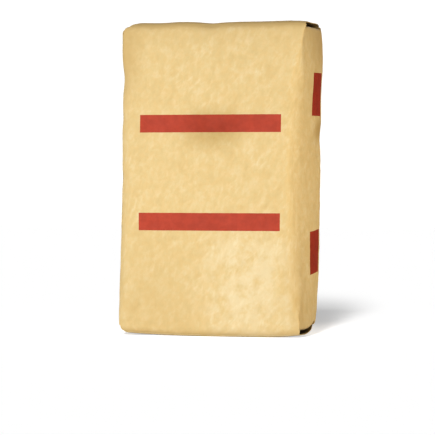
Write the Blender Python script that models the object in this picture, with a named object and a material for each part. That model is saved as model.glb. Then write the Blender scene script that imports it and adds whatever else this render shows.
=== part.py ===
"""A filled cement sack: a pasted kraft paper valve sack, standing on its block bottom.

Metres, +Z up. The origin is on the floor under the middle of the sack. The printed front
faces -Y, the width runs along X and the thickness along Y. Both ends are folded the same
way: the sides are tucked in, the front and back panels are folded over them and pasted, and
a cover sheet is pasted on top. Each narrow edge of an end keeps an open fold above its tuck,
and the fold at the top right is the valve, with a flat paper sleeve in it.
"""

import math

import bmesh
import bpy

# Sack, outside, from the floor to the top cover sheet.
HEIGHT = 0.650
WIDTH = 0.394
END_DEPTH = 0.126

# Paper. The wall is four plies, an end is the two pasted flaps, and the cover is one sheet.
WALL = 0.0005
FLAP = 0.0010
COVER = 0.0003
SLEEVE_WALL = 0.0003
GAP = 0.0003

# Soft form of the filled sack, each as the most that a face or an edge moves.
FRONT_BULGE = 0.0090
SIDE_BULGE = 0.0060
CORNER_SOFTNESS = 0.0060
FOOT_SAG = 0.0025
FOOT_SAG_HEIGHT = 0.14
FOOT_SAG_SPREAD = 0.10

# Rounding of the folded edges, by the direction that it reaches in.
END_RADIUS_X = 0.0100
END_RADIUS_Y = 0.0050
END_RADIUS_Z = 0.0100

# The open fold at each narrow edge of an end: how deep it is, how high at its apex and at its
# mouth, the rounded lip of the tuck there, and the folded paper left solid in each corner.
FOLD_DEPTH = 0.040
FOLD_APEX_GAP = 0.0016
FOLD_MOUTH_GAP = 0.0075
FOLD_LIP_IN = 0.010
FOLD_LIP_OUT = 0.003
FOLD_LIP_DROP = 0.0065
FOLD_CORNER = 0.005
LIP_STEPS = 4

# Cement: its top lies below the end, as powder settles.
HEADSPACE = 0.0100

# Valve sleeve, and how far the slot that it passes runs to each side of the fold's apex.
SLEEVE_HALF_WIDTH = 0.048
SLEEVE_LENGTH = 0.088
SLEEVE_SET_BACK = 0.014
SLOT_REACH = 0.004

# Cover sheets, measured in from the outline of the end, with clipped corners.
COVER_SIDE_MARGIN = 0.021
COVER_FRONT_MARGIN = 0.011
COVER_CLIP = 0.012

# Mesh grid, in cells along each direction of the plain box and across each rounding.
CELLS_X = 8
CELLS_Y = 4
CELLS_Z = 14
EDGE_CELLS = 2

HALF_WIDTH = WIDTH / 2
HALF_DEPTH = END_DEPTH / 2
SACK_BOTTOM = COVER + GAP
SACK_TOP = HEIGHT - COVER - GAP
CLEAR_PAST = 0.050

KRAFT = (0.84, 0.61, 0.29)
COVER_KRAFT = (0.80, 0.57, 0.27)
SLEEVE_KRAFT = (0.66, 0.47, 0.24)
CEMENT_GREY = (0.36, 0.36, 0.34)


def clear_scene():
    for obj in list(bpy.data.objects):
        bpy.data.objects.remove(obj)


def new_collection(name):
    collection = bpy.data.collections.new(name)
    bpy.context.scene.collection.children.link(collection)
    return collection


def make_material(name, colour, roughness):
    material = bpy.data.materials.new(name)
    material.use_nodes = True
    shader = material.node_tree.nodes["Principled BSDF"]
    shader.inputs["Base Color"].default_value = (*colour, 1.0)
    shader.inputs["Roughness"].default_value = roughness
    shader.inputs["Metallic"].default_value = 0.0
    return material


def make_object(name, mesh_builder, collection, material=None):
    mesh = bpy.data.meshes.new(name)
    bmesh.ops.triangulate(mesh_builder, faces=mesh_builder.faces, quad_method="FIXED")
    mesh_builder.to_mesh(mesh)
    mesh_builder.free()
    obj = bpy.data.objects.new(name, mesh)
    collection.objects.link(obj)
    if material:
        mesh.materials.append(material)
        mesh.shade_smooth()
        mesh.set_sharp_from_angle(angle=math.radians(40))
    return obj


def as_cutter(obj):
    obj.hide_render = True
    obj.display_type = "WIRE"
    return obj


def cut(obj, cutter):
    modifier = obj.modifiers.new("cut_" + cutter.name, "BOOLEAN")
    modifier.operation = "DIFFERENCE"
    modifier.solver = "EXACT"
    modifier.object = cutter


def plain_box(low, high):
    """A bmesh cube between two corners."""
    box = bmesh.new()
    bmesh.ops.create_cube(box, size=1.0)
    for vertex in box.verts:
        for axis in range(3):
            share = vertex.co[axis] + 0.5
            vertex.co[axis] = low[axis] + share * (high[axis] - low[axis])
    return box


def runs_along(edge, axis):
    """Whether an edge of a plain box runs along an axis."""
    across = [i for i in range(3) if i != axis]
    step = edge.verts[1].co - edge.verts[0].co
    return all(abs(step[i]) < 1e-6 for i in across)


def grid_lines(half, radius, cells):
    """Where a box is sliced along one axis: evenly along its flat, and more closely at its ends."""
    flat = half - radius
    lines = [-flat + 2.0 * flat * step / cells for step in range(cells + 1)]
    for step in range(1, EDGE_CELLS):
        lines += [flat + radius * step / EDGE_CELLS, -flat - radius * step / EDGE_CELLS]
    return sorted(lines)


def slice_box(box, axis, lines):
    """Cuts a loop around a box at each of these places along an axis."""
    normal = [0.0, 0.0, 0.0]
    normal[axis] = 1.0
    for place in lines:
        point = [place * part for part in normal]
        geometry = box.verts[:] + box.edges[:] + box.faces[:]
        bmesh.ops.bisect_plane(box, geom=geometry, plane_co=point, plane_no=normal)


def round_off(vertex, half, radii):
    """Moves a vertex near an edge or a corner of a box onto its rounding."""
    past = [max(abs(vertex.co[i]) - half[i] + radii[i], 0.0) / radii[i] for i in range(3)]
    length = math.sqrt(sum(share**2 for share in past))
    for i in range(3):
        if past[i] > 0.0:
            reach = half[i] - radii[i] + radii[i] * past[i] / length
            vertex.co[i] = math.copysign(reach, vertex.co[i])


def fullness(height_share):
    """How full the sack is at a height: 0 at the folded ends, 1 along the middle."""
    return 1.0 - abs(2.0 * height_share - 1.0) ** 3


def foot_sag(height_share):
    """The sack is a little wider just above its foot, where the powder bears down."""
    return math.exp(-(((height_share - FOOT_SAG_HEIGHT) / FOOT_SAG_SPREAD) ** 2))


def fill_out(vertex, half):
    """Moves a vertex of the rounded box to where the paper lies on the filled sack."""
    x, y, z = vertex.co
    across = min(abs(x) / half[0], 1.0)
    through = min(abs(y) / half[1], 1.0)
    height_share = 0.5 + 0.5 * z / half[2]
    full = fullness(height_share)
    corner = CORNER_SOFTNESS * full * (across * through) ** 6
    side = SIDE_BULGE * full * (1.0 - through**2)
    front = FRONT_BULGE * full * (1.0 - across**2.5)
    sag = FOOT_SAG * foot_sag(height_share) * across
    vertex.co.x = math.copysign(abs(x) + across**4 * side - corner + sag, x)
    vertex.co.y = math.copysign(abs(y) + through**4 * front - corner, y)


def soft_box(inset, bottom, top):
    """The form of the filled sack, set in from the outside by an even layer."""
    half = (HALF_WIDTH - inset, HALF_DEPTH - inset, (top - bottom) / 2)
    radii = [radius - inset for radius in (END_RADIUS_X, END_RADIUS_Y, END_RADIUS_Z)]
    box = plain_box([-size for size in half], half)
    for axis, cells in enumerate((CELLS_X, CELLS_Y, CELLS_Z)):
        slice_box(box, axis, grid_lines(half[axis], radii[axis], cells))
    for vertex in box.verts:
        round_off(vertex, half, radii)
        fill_out(vertex, half)
        vertex.co.z += (bottom + top) / 2
    return box


def fold_floor(inward):
    """How far below the flap the tuck lies, at a distance in from the side."""
    share = (FOLD_DEPTH - inward) / (FOLD_DEPTH - FOLD_LIP_IN)
    return FOLD_APEX_GAP + (FOLD_MOUTH_GAP - FOLD_APEX_GAP) * share


def fold_outline(paper):
    """The open fold seen from the front, as (inward, down) points, with paper of this thickness.

    Without paper it is the air in the fold. With paper it is all that the powder can't reach:
    the air, the tuck below it and the flap above it.
    """
    top = -CLEAR_PAST if paper else 0.0
    apex = FOLD_DEPTH + paper
    points = [(apex, top), (apex, FOLD_APEX_GAP + paper)]
    for step in range(LIP_STEPS + 1):
        angle = math.radians(90) * step / LIP_STEPS
        inward = FOLD_LIP_IN - (FOLD_LIP_IN + FOLD_LIP_OUT) * math.sin(angle)
        down = FOLD_MOUTH_GAP + FOLD_LIP_DROP * (1.0 - math.cos(angle))
        points.append((inward + paper * math.sin(angle), down + paper * math.cos(angle)))
    points += [(-CLEAR_PAST, points[-1][1]), (-CLEAR_PAST, top)]
    return points


def fold_cutter(name, side, is_top, paper, half_extent, helpers):
    """One open fold as a solid, on the side that is -1 or 1, at the top or the bottom end."""
    flap_face = SACK_TOP - FLAP if is_top else SACK_BOTTOM + FLAP
    downward = -1.0 if is_top else 1.0
    prism = bmesh.new()
    outline = [
        prism.verts.new((side * (HALF_WIDTH - inward), -half_extent, flap_face + downward * down))
        for inward, down in fold_outline(paper)
    ]
    swept = bmesh.ops.extrude_face_region(prism, geom=[prism.faces.new(outline)])
    moved = [item for item in swept["geom"] if isinstance(item, bmesh.types.BMVert)]
    bmesh.ops.translate(prism, verts=moved, vec=(0.0, 2.0 * half_extent, 0.0))
    bmesh.ops.recalc_face_normals(prism, faces=prism.faces)
    return as_cutter(make_object(name, prism, helpers))


def cut_folds(obj, prefix, paper, half_extent, helpers):
    """Cuts all four open folds from an object."""
    for side, side_name in ((-1, "left"), (1, "right")):
        for is_top, end_name in ((False, "bottom"), (True, "top")):
            name = f"{prefix}_{end_name}_{side_name}"
            cut(obj, fold_cutter(name, side, is_top, paper, half_extent, helpers))


def build_cavity(helpers):
    """The room inside the paper, cut back where the tucks and flaps lie."""
    room = soft_box(WALL, SACK_BOTTOM + FLAP, SACK_TOP - FLAP)
    cavity = as_cutter(make_object("cavity", room, helpers))
    cut_folds(cavity, "tuck", WALL, HALF_DEPTH + CLEAR_PAST, helpers)
    return cavity


def build_valve_slot(helpers):
    """The way from the top right fold into the sack, as high as the fold is at its apex."""
    inner = HALF_WIDTH - FOLD_DEPTH
    high = SACK_TOP - FLAP
    low = high - FOLD_APEX_GAP
    half = SLEEVE_HALF_WIDTH + GAP
    slot = plain_box((inner - SLOT_REACH, -half, low), (inner + SLOT_REACH, half, high))
    return as_cutter(make_object("valve_slot", slot, helpers))


def build_sack(parts, helpers, material):
    body = soft_box(0.0, SACK_BOTTOM, SACK_TOP)
    sack = make_object("paper_sack", body, parts, material)
    cut(sack, build_cavity(helpers))
    cut_folds(sack, "fold", 0.0, HALF_DEPTH - FOLD_CORNER, helpers)
    cut(sack, build_valve_slot(helpers))


def build_cement(parts, helpers, material):
    """The powder, as it fills the sack up to its headspace."""
    inset = WALL + GAP
    bottom = SACK_BOTTOM + FLAP + GAP
    powder = make_object("cement_fill", soft_box(inset, bottom, SACK_TOP - FLAP - GAP), parts, material)
    cut_folds(powder, "powder_clear", inset, HALF_DEPTH + CLEAR_PAST, helpers)
    level = SACK_TOP - FLAP - HEADSPACE
    lid = plain_box((-WIDTH, -END_DEPTH, level), (WIDTH, END_DEPTH, HEIGHT + CLEAR_PAST))
    cut(powder, as_cutter(make_object("headspace", lid, helpers)))


def sleeve_floor(x):
    """Height of the sleeve's underside, which lies on the tuck and then runs level."""
    inward = min(HALF_WIDTH - x, FOLD_DEPTH)
    return SACK_TOP - FLAP - fold_floor(inward) + GAP


def sleeve_body(wall, start, end):
    """The flat tube of the sleeve, drawn in by wall on its long sides."""
    half = SLEEVE_HALF_WIDTH - wall
    top = SACK_TOP - FLAP - GAP - wall
    tube = plain_box((start, -half, 0.0), (end, half, 1.0))
    geometry = tube.verts[:] + tube.edges[:] + tube.faces[:]
    apex = HALF_WIDTH - FOLD_DEPTH
    bmesh.ops.bisect_plane(tube, geom=geometry, plane_co=(apex, 0.0, 0.0), plane_no=(1.0, 0.0, 0.0))
    for vertex in tube.verts:
        low = sleeve_floor(vertex.co.x) + wall
        vertex.co.z = top if vertex.co.z > 0.5 else low
    return tube


def build_sleeve(parts, helpers, material):
    """The valve: a flat paper tube from the mouth of the fold to inside the sack."""
    mouth = HALF_WIDTH - SLEEVE_SET_BACK
    inner = mouth - SLEEVE_LENGTH
    sleeve = make_object("valve_sleeve", sleeve_body(0.0, inner, mouth), parts, material)
    bore = sleeve_body(SLEEVE_WALL, inner - CLEAR_PAST, mouth + FOLD_LIP_IN / 2)
    cut(sleeve, as_cutter(make_object("sleeve_bore", bore, helpers)))


def build_cover(name, bottom, parts, material):
    """A cover sheet with clipped corners, pasted flat on an end."""
    half_length = HALF_WIDTH - COVER_SIDE_MARGIN
    half_width = HALF_DEPTH - COVER_FRONT_MARGIN
    sheet = plain_box((-half_length, -half_width, bottom), (half_length, half_width, bottom + COVER))
    corners = [edge for edge in sheet.edges if runs_along(edge, 2)]
    bmesh.ops.bevel(sheet, geom=corners, offset=COVER_CLIP, segments=1, profile=0.5, affect="EDGES")
    make_object(name, sheet, parts, material)


def main():
    clear_scene()
    parts = new_collection("cement_sack")
    helpers = new_collection("cutters")
    kraft = make_material("kraft_paper", KRAFT, 0.75)
    cover_kraft = make_material("cover_kraft", COVER_KRAFT, 0.78)
    sleeve_kraft = make_material("sleeve_kraft", SLEEVE_KRAFT, 0.80)
    cement = make_material("cement_powder", CEMENT_GREY, 0.95)
    build_sack(parts, helpers, kraft)
    build_cement(parts, helpers, cement)
    build_sleeve(parts, helpers, sleeve_kraft)
    build_cover("top_cover_sheet", HEIGHT - COVER, parts, cover_kraft)
    build_cover("bottom_cover_sheet", 0.0, parts, cover_kraft)


main()
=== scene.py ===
"""Looks of a filled cement sack: crinkled kraft skin with folded ends, cover sheets, valve and print.

Metres, +Z up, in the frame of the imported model. The printed front faces -Y.
The skin starts as a plain box of fine cells, whose coordinates are kept as the place on the flat
paper. Smooth moves of the whole volume give it the form of a full sack, and the paper's own
crumples are added at the end, so every sheet that lies on another follows it.
"""

import math

import bmesh
import bpy
import numpy as np
from mathutils import Matrix, Vector, noise


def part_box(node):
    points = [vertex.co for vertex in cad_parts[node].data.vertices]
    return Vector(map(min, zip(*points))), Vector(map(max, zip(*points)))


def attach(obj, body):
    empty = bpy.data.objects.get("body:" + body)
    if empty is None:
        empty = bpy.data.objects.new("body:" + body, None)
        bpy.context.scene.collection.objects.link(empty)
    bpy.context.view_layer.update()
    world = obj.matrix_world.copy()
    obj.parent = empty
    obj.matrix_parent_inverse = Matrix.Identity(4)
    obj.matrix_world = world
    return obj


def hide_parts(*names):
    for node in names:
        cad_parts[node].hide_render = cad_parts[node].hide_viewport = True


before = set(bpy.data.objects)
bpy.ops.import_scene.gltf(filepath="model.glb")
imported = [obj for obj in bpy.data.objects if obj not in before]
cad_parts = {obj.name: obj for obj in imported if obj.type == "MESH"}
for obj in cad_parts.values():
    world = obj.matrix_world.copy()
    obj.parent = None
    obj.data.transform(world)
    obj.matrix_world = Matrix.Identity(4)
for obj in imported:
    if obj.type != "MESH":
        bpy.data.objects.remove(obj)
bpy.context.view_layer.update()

# Places and sizes read from the frame.
SACK_LOW, SACK_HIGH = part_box("paper_sack")
COVER_LOW, COVER_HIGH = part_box("top_cover_sheet")
FOOT_LOW, FOOT_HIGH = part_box("bottom_cover_sheet")
SLEEVE_LOW, SLEEVE_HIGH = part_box("valve_sleeve")
BOTTOM = SACK_LOW.z
TOP = SACK_HIGH.z
MIDDLE = (BOTTOM + TOP) / 2
HALF_HEIGHT = (TOP - BOTTOM) / 2

# The folded ends reach this far past the cover sheets pasted on them.
COVER_SIDE_MARGIN = 0.021
COVER_FRONT_MARGIN = 0.011
HALF_WIDTH = COVER_HIGH.x + COVER_SIDE_MARGIN
HALF_DEPTH = COVER_HIGH.y + COVER_FRONT_MARGIN

# Cells of the skin: fine along its edges, coarser over its faces.
FINE_CELL = 0.0013
COARSE_CELL = 0.0033
CELL_GROWTH = 1.25

# The open fold at each narrow edge of an end.
FLAP = 0.0010
FOLD_DEPTH = 0.040
FOLD_APEX_GAP = 0.0016
VALVE_APEX_GAP = 0.0070
FOLD_MOUTH_GAP = 0.0088
FOLD_LIP_IN = 0.010
FOLD_LIP_DROP = 0.0065
FLAP_SET_BACK = 0.0015
FLAP_ROWS = 8
TUCK_ROWS = 7
LIP_ROWS = 5
LIP_END = FLAP + FOLD_MOUTH_GAP + FOLD_LIP_DROP
LIP_SPAN = 0.060
# Paper inside a fold is painted with shade from this far in, fully so past the span.
FOLD_SHADE_START = 0.002
FOLD_SHADE_SPAN = 0.012

# Roundings and bulges of the full sack.
EDGE_RADIUS_LEFT_ENDS = 0.016
EDGE_RADIUS_RIGHT_ENDS = 0.0035
EDGE_RADIUS_LEFT = 0.028
EDGE_RADIUS_RIGHT_FRONT = 0.028
EDGE_RADIUS_RIGHT_BACK = 0.020
EDGE_DEPTH_SHARE = 0.85
TOP_SHARP_SPAN = (0.045, 0.130)
FOOT_SHARP_SPAN = (0.025, 0.090)
TOP_RADII = (0.011, 0.021)
FOOT_RADII = (0.007, 0.011)
SLUMPED_CORNER_RADIUS = 0.030
LEFT_TOP_CORNER = (0.050, 0.021)
LEFT_FOOT_CORNER = (0.022, 0.019)
RIGHT_CORNER = 0.005
RIGHT_TOP_CORNER_BEHIND = 0.008
RIGHT_FOOT_CORNER_BEHIND = 0.007
SLUMP_LIFT = 0.0100
SLUMP_INWARDS = 0.0045
RIGHT_SWELL_FRONT = -0.0215
RIGHT_SWELL_BACK = 0.0085
RIGHT_BULGE = 0.0075
LEFT_BULGE = 0.0060
LEFT_FOOT_SWELL = 0.0035
FRONT_BULGE = 0.0095
LEAN = 0.0060
EAR = 0.0058
FOOT_LIFT_LEFT = 0.0056
FOOT_LIFT_RIGHT = 0.0050

# Where some of these set in and are whole, in shares of the half width, half depth or half height.
SLUMPED_CORNER_ACROSS = (0.50, 0.95)
SLUMP_ACROSS = (0.75, 1.0)
SLUMP_BEHIND = (-0.3, 1.2)
SLUMP_INWARDS_DOWN = (-0.70, -1.0)
SLUMP_LIFT_DOWN = (-0.02, -0.42)
FOOT_LIFT_DOWN = (-0.80, -1.0)
EAR_UP = (0.88, 1.0)

# The pasted lengthwise seam on the back, where one edge of the paper lies on the other.
SEAM_X = -0.055
SEAM_STEP = 0.0007
SEAM_WIDTH = 0.0008

# The printed bars on the flat paper: centre and half size across, half size up, and their two heights.
FRONT_BARS = (0.0008, 0.1542, 0.0183, (0.4400, 0.2370))
SIDE_BARS = (0.0190, 0.0230, 0.0445, (0.5010, 0.1720))
INK_EDGE = 0.0003
INK_UNEVENNESS = 0.0004

# A place counts as on a side or an end of the flat paper's box when it is this near.
ON_SIDE = 0.0002
ON_END = 0.0004

# The loose powder inside, the pasted cover sheets and the valve.
BODY_CELL = 0.0080
BODY_INSET = 0.0025
BODY_HEADROOM = 0.0160
BODY_OVER_TUCKS = 0.0145
HEAP_HEIGHT = 0.0020
COVER_CLIP = 0.012
COVER_GAP = 0.00015
COVER_CURL = 0.0004
SLEEVE_SAG = 0.0012
SLEEVE_WALL = 0.0003
SLEEVE_AROUND = 72
SLEEVE_ALONG = 24


def smoothstep(low, high, value):
    """0 at low and below, 1 at high and above, smooth between."""
    share = np.clip((value - low) / (high - low), 0.0, 1.0)
    return share * share * (3.0 - 2.0 * share)


def bell(centre, spread, value):
    return np.exp(-(((value - centre) / spread) ** 2))


# The form of the full sack

def round_pair(a, b, half_a, half_b, radius_a, radius_b):
    """Rounds the edge where two directions meet. a and b are measured from the middle."""
    past_a = np.clip((np.abs(a) - half_a + radius_a) / radius_a, 0.0, 1.0)
    past_b = np.clip((np.abs(b) - half_b + radius_b) / radius_b, 0.0, 1.0)
    both = np.maximum(np.hypot(past_a, past_b), 1e-9)
    pull = np.where(past_a * past_b > 0.0, np.maximum(past_a, past_b) / both, 1.0)
    moved_a = np.sign(a) * (half_a - radius_a + radius_a * past_a * pull)
    moved_b = np.sign(b) * (half_b - radius_b + radius_b * past_b * pull)
    return np.where(past_a > 0.0, moved_a, a), np.where(past_b > 0.0, moved_b, b)


def corner_radii(wide, deep, up):
    """Radius across and radius up of the rounding at a broad face's four corners.

    The left corners have slumped round. The right ones are still square in front.
    """
    left = smoothstep(0.2, -0.2, wide)
    top = smoothstep(-0.2, 0.2, up)
    behind = smoothstep(0.2, 1.0, deep)
    right_behind = RIGHT_TOP_CORNER_BEHIND * top + RIGHT_FOOT_CORNER_BEHIND * (1 - top)
    right = RIGHT_CORNER + (right_behind - RIGHT_CORNER) * behind
    radii = []
    for at_top, at_foot in zip(LEFT_TOP_CORNER, LEFT_FOOT_CORNER):
        radii.append(left * (at_top * top + at_foot * (1 - top)) + (1 - left) * right)
    return radii


def end_radii(wide, deep, up):
    """Radius inwards and radius up along the front and back edges of the two ends."""
    slumped = smoothstep(*SLUMPED_CORNER_ACROSS, wide) * smoothstep(0.0, 0.2, deep) * (up < 0.0)
    radii = []
    for at_top, at_foot in zip(TOP_RADII, FOOT_RADII):
        radius = np.where(up > 0.0, at_top, at_foot)
        radii.append(radius + (SLUMPED_CORNER_RADIUS - radius) * slumped)
    return radii


def edge_radius(wide, deep, z):
    """Radius of the four upright edges: the right ones are creased sharp near the ends."""
    right = np.where(deep < 0.0, EDGE_RADIUS_RIGHT_FRONT, EDGE_RADIUS_RIGHT_BACK)
    radius = np.where(wide > 0.0, right, EDGE_RADIUS_LEFT)
    at_ends = np.where(wide > 0.0, EDGE_RADIUS_RIGHT_ENDS, EDGE_RADIUS_LEFT_ENDS)
    soft = smoothstep(*TOP_SHARP_SPAN, HALF_HEIGHT - z) * smoothstep(*FOOT_SHARP_SPAN, HALF_HEIGHT + z)
    return at_ends + (radius - at_ends) * soft


def side_form(wide, deep, up):
    """How far a narrow side stands out. The right one is drawn in at its front edge and full behind."""
    fullness = np.where(up > 0.0, 1.0 - np.abs(up) ** 6, 1.0 - np.abs(up) ** 3)
    crown = 1.0 - np.clip(np.abs(deep), 0.0, 1.0) ** 2
    behind = np.clip(0.5 + 0.5 * deep, 0.0, 1.0)
    right = RIGHT_SWELL_FRONT * (1.0 - behind) * np.clip(1.0 - up**2, 0.0, 1.0) ** 1.3
    right = right + (RIGHT_SWELL_BACK * behind + RIGHT_BULGE * crown) * fullness
    left = LEFT_BULGE * crown * (1.0 - np.abs(up) ** 6) + LEFT_FOOT_SWELL * bell(-0.75, 0.28, up)
    return np.where(wide > 0.0, right, -left)


def shaped(points):
    """Where points of the plain box lie in the full sack."""
    z = points[:, 2] - MIDDLE
    wide = points[:, 0] / HALF_WIDTH
    deep = points[:, 1] / HALF_DEPTH
    up = z / HALF_HEIGHT

    x, z = round_pair(points[:, 0], z, HALF_WIDTH, HALF_HEIGHT, *corner_radii(wide, deep, up))
    y, z = round_pair(points[:, 1], z, HALF_DEPTH, HALF_HEIGHT, *end_radii(wide, deep, up))
    radius = edge_radius(wide, deep, points[:, 2] - MIDDLE)
    x, y = round_pair(x, y, HALF_WIDTH, HALF_DEPTH, radius, radius * EDGE_DEPTH_SHARE)

    wide = x / HALF_WIDTH
    deep = y / HALF_DEPTH
    full = 1.0 - np.abs(up) ** 3
    flat_share = np.clip(np.abs(wide), 0.0, 1.0)
    x = x + side_form(wide, deep, up) * np.where(wide > 0.0, flat_share**8, flat_share**4)
    y = y + np.sign(deep) * FRONT_BULGE * full * (1.0 - flat_share**2.5) * np.abs(deep) ** 2

    x = x + LEAN * 0.5 * up
    ear = smoothstep(*EAR_UP, up) * np.clip(wide, 0.0, 1.0) ** 3 * np.clip(-deep, 0.0, 1.0)
    x = x + EAR * ear
    lift = np.where(wide > 0.0, FOOT_LIFT_RIGHT * flat_share**5, FOOT_LIFT_LEFT * flat_share**2)
    z = z + lift * smoothstep(*FOOT_LIFT_DOWN, up)
    slump = smoothstep(*SLUMP_ACROSS, wide) * smoothstep(*SLUMP_BEHIND, deep)
    x = x - SLUMP_INWARDS * slump * smoothstep(*SLUMP_INWARDS_DOWN, up)
    z = z + SLUMP_LIFT * slump * smoothstep(*SLUMP_LIFT_DOWN, up)
    return np.stack([x, y, z + MIDDLE], axis=1)


# The skin as a mesh of the plain box

def graded_lines(half, fine=FINE_CELL, coarse=COARSE_CELL):
    """Lines from -half to half, close together at both ends."""
    steps = []
    step = fine
    while step < coarse:
        steps.append(step)
        step *= CELL_GROWTH
    middle = half - sum(steps)
    count = 2 * math.ceil(middle / coarse)
    outer = [-half + sum(steps[:i]) for i in range(len(steps))]
    inner = [-middle + 2.0 * middle * i / count for i in range(count + 1)]
    return np.array(outer + inner + [-place for place in reversed(outer)])


def with_seam(lines):
    """The lines with the nearest one moved onto the seam, and one more at the far edge of its step."""
    lines = lines.copy()
    nearest = int(np.argmin(np.abs(lines - SEAM_X)))
    lines[nearest] = SEAM_X
    return np.insert(lines, nearest + 1, SEAM_X + SEAM_WIDTH)


def fold_rows(apex_gap):
    """The open fold as (inward, down) points, from the flap's edge in to the apex and out to the lip."""
    rows = [(FLAP_SET_BACK, FLAP * 0.5)]
    for step in range(FLAP_ROWS + 1):
        rows.append((FLAP_SET_BACK + (FOLD_DEPTH - FLAP_SET_BACK) * step / FLAP_ROWS, FLAP))
    for step in range(TUCK_ROWS + 1):
        share = step / TUCK_ROWS
        inward = FOLD_DEPTH + (FOLD_LIP_IN - FOLD_DEPTH) * share
        rows.append((inward, FLAP + apex_gap + (FOLD_MOUTH_GAP - apex_gap) * share))
    for step in range(1, LIP_ROWS + 1):
        angle = math.radians(90) * step / (LIP_ROWS + 1)
        inward = FOLD_LIP_IN * (1.0 - math.sin(angle))
        rows.append((inward, FLAP + FOLD_MOUTH_GAP + FOLD_LIP_DROP * (1.0 - math.cos(angle))))
    return rows


def below_lip(z):
    """Heights on a narrow side, drawn in from each end to where its tuck's lip ends."""
    from_end = HALF_HEIGHT - np.abs(z - MIDDLE)
    share = np.clip(1.0 - from_end / LIP_SPAN, 0.0, 1.0)
    return z - np.sign(z - MIDDLE) * LIP_END * share**2


def cells_across(axis, counts):
    """The lattice keys of each cell's four corners, on the two faces of a box across this axis."""
    first, second = [other for other in range(3) if other != axis]
    for level in (0, counts[axis]):
        for i in range(counts[first]):
            for j in range(counts[second]):
                keys = []
                for step_i, step_j in ((0, 0), (1, 0), (1, 1), (0, 1)):
                    key = [level] * 3
                    key[first] = i + step_i
                    key[second] = j + step_j
                    keys.append(tuple(key))
                yield keys


class Skin:
    """Collects the vertices and faces of the sack's skin on a lattice of lines."""

    def __init__(self):
        self.lines = (
            with_seam(graded_lines(HALF_WIDTH)),
            graded_lines(HALF_DEPTH),
            graded_lines(HALF_HEIGHT) + MIDDLE,
        )
        self.last = [len(lines) - 1 for lines in self.lines]
        self.places = []
        self.depths = []
        self.index = {}
        self.faces = []

    def vertex(self, key, place, depth=0.0):
        """The vertex of this key. depth is how far inside a fold it lies, from 0 to 1."""
        if key not in self.index:
            self.index[key] = len(self.places)
            self.places.append(place)
            self.depths.append(depth)
        return self.index[key]

    def lattice(self, i, j, k):
        """The vertex where three lines meet. On a narrow side it is drawn below the lip."""
        last_x, last_y, last_z = self.last
        x = self.lines[0][i]
        y = self.lines[1][j]
        z = self.lines[2][k]
        narrow = i in (0, last_x) and 0 < j < last_y
        if narrow and 0 < k < last_z:
            z = float(below_lip(z))
        if narrow and k in (0, last_z):
            x -= math.copysign(FLAP_SET_BACK, x)
        return self.vertex((i, j, k), (x, y, z))

    def quad(self, corners):
        distinct = list(dict.fromkeys(corners))
        if len(distinct) > 2:
            self.faces.append(distinct)

    def side_vertex(self, i, j, k):
        """A vertex of a narrow side. Its first and last rows are the ends of the tucks' lips."""
        if k not in (0, self.last[2]) or j in (0, self.last[1]):
            return self.lattice(i, j, k)
        z = float(below_lip(self.lines[2][k]))
        return self.vertex(("lip", i, j, k), (self.lines[0][i], self.lines[1][j], z))

    def walls(self):
        """The two broad faces, then the two ends, then the two narrow sides."""
        for axis, vertex in ((1, self.lattice), (2, self.lattice), (0, self.side_vertex)):
            for keys in cells_across(axis, self.last):
                self.quad([vertex(*key) for key in keys])

    def fold_vertices(self, i, j, k):
        """One line across an open fold. At the two ends of the fold they meet in the corner."""
        valve = i == self.last[0] and k == self.last[2]
        rows = fold_rows(VALVE_APEX_GAP if valve else FOLD_APEX_GAP)
        if j in (0, self.last[1]):
            return [self.lattice(i, j, k)] * (len(rows) + 2)
        side = math.copysign(1.0, self.lines[0][i])
        inwards = -math.copysign(1.0, self.lines[2][k] - MIDDLE)
        found = [self.lattice(i, j, k)]
        for row, (inward, down) in enumerate(rows):
            place = (side * (HALF_WIDTH - inward), self.lines[1][j], self.lines[2][k] + inwards * down)
            depth = min(1.0, max(0.0, inward - FOLD_SHADE_START) / FOLD_SHADE_SPAN)
            found.append(self.vertex(("fold", i, j, k, row), place, depth))
        found.append(self.side_vertex(i, j, k))
        return found

    def folds(self):
        last_x, last_y, last_z = self.last
        for i in (0, last_x):
            for k in (0, last_z):
                for j in range(last_y):
                    near = self.fold_vertices(i, j, k)
                    far = self.fold_vertices(i, j + 1, k)
                    for row in range(len(near) - 1):
                        self.quad([near[row], near[row + 1], far[row + 1], far[row]])


def mesh_object(name, points, faces, places, values=None):
    """A smooth closed mesh, which keeps each vertex's place on the flat paper."""
    mesh = bpy.data.meshes.new(name)
    mesh.from_pydata([tuple(point) for point in points], [], faces)
    attribute = mesh.attributes.new("place", "FLOAT_VECTOR", "POINT")
    attribute.data.foreach_set("vector", np.asarray(places, dtype=np.float32).ravel())
    for title, numbers in (values or {}).items():
        attribute = mesh.attributes.new(title, "FLOAT", "POINT")
        attribute.data.foreach_set("value", np.asarray(numbers, dtype=np.float32))
    work = bmesh.new()
    work.from_mesh(mesh)
    bmesh.ops.recalc_face_normals(work, faces=work.faces)
    work.to_mesh(mesh)
    work.free()
    mesh.shade_smooth()
    obj = bpy.data.objects.new(name, mesh)
    bpy.context.scene.collection.objects.link(obj)
    return obj


def raise_surface(obj, heights):
    """Moves each vertex out along its normal by its height."""
    vertices = obj.data.vertices
    points = np.zeros((len(vertices), 3))
    normals = np.zeros((len(vertices), 3))
    vertices.foreach_get("co", points.ravel())
    vertices.foreach_get("normal", normals.ravel())
    points += normals * heights[:, None]
    vertices.foreach_set("co", points.astype(np.float32).ravel())
    obj.data.update()


# The paper's crumples

# The noise that bends the crinkles is the only one that needs a seed. Unseeded, it follows the clock.
PAPER_SEED = 1
noise.seed_set(PAPER_SEED)

# The height that counts as 1 in the crinkle attribute.
CRINKLE_UNIT = 0.0005

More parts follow.
